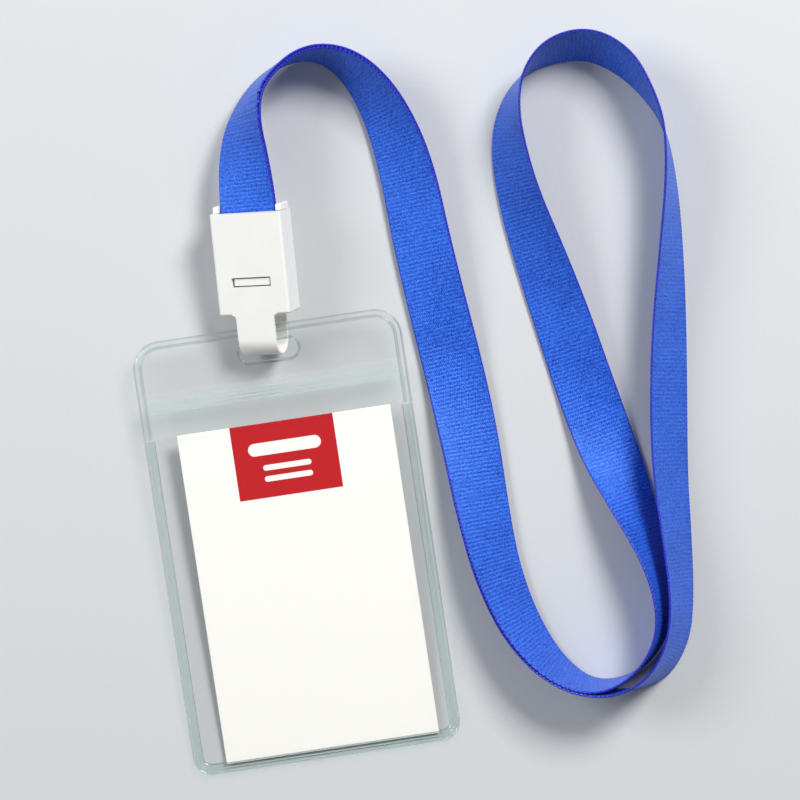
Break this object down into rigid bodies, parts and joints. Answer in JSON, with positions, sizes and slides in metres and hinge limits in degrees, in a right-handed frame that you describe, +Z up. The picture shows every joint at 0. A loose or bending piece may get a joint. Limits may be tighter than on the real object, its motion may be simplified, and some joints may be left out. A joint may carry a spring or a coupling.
{
  "type": "lanyard badge holder",
  "caption": "Clear vinyl card pouch with a zip top, hung by its slot from the strap of a white plastic clip on a doubled blue woven neck ribbon.",
  "frame": {"origin": "middle of the object's footprint without the ribbon, on the surface that it lies on", "axes": "+Y from the pouch towards the clip, +X to the right as the card is read, +Z up out of the surface"},
  "size_m": [0.1422, 0.1768, 0.0184],
  "materials": {
    "clip_plastic": "satin moulded polypropylene",
    "ribbon": "ribbed woven polyester",
    "clear_vinyl": "clear soft vinyl sheet",
    "vinyl_weld": "clear welded vinyl bead",
    "vinyl_rim": "clear moulded vinyl, faint green edge",
    "zip_vinyl": "clear extruded vinyl zip",
    "card": "smooth white card with one printed panel"
  },
  "bodies": {
    "lanyard": {"clip_rear_base": "clip_plastic", "clip_strap_bend": "clip_plastic", "ribbon_outer_run": "ribbon", "ribbon_neck_loop": "ribbon", "ribbon_inner_run": "ribbon"},
    "cover": {"clip_front_cover": "clip_plastic"},
    "latch": {"clip_latch_finger": "clip_plastic"},
    "holder": {"back_sheet": "clear_vinyl", "header_sheet": "clear_vinyl", "header_weld": "vinyl_weld", "slot_eyelet": "vinyl_weld", "pocket_rim": "vinyl_rim", "front_window": "clear_vinyl", "mouth_seam": "vinyl_weld", "zip_strip_rear": "zip_vinyl"},
    "zip_flap": {"zip_strip_front": "zip_vinyl"},
    "card": {"insert_card": "card"}
  },
  "joints": [
    {"name": "holder_swing", "type": "hinge", "parent": "lanyard", "child": "holder", "pos_m": [0, 0.03743, 0.00608], "axis": [-0.971, 0.0714, -0.2282], "range_deg": [-60, 60]},
    {"name": "cover_open", "type": "hinge", "parent": "lanyard", "child": "cover", "pos_m": [-0.00045, 0.0363, 0.0061], "axis": [0.9355, -0.1056, 0.3373], "range_deg": [0, 45], "deforming": ["clip_strap_bend"]},
    {"name": "latch_press", "type": "slide", "parent": "lanyard", "child": "latch", "axis": [0.3497, 0.137, -0.9268], "range_m": [0, 0.0008], "stiffness_N_per_m": 400},
    {"name": "zip_open", "type": "hinge", "parent": "holder", "child": "zip_flap", "pos_m": [0, 0.01497, 0.00569], "axis": [1, 0, 0], "range_deg": [0, 35]},
    {"name": "card_slide", "type": "slide", "parent": "holder", "child": "card", "axis": [0, 0.9988, 0.0489], "range_m": [0, 0.006]}
  ]
}
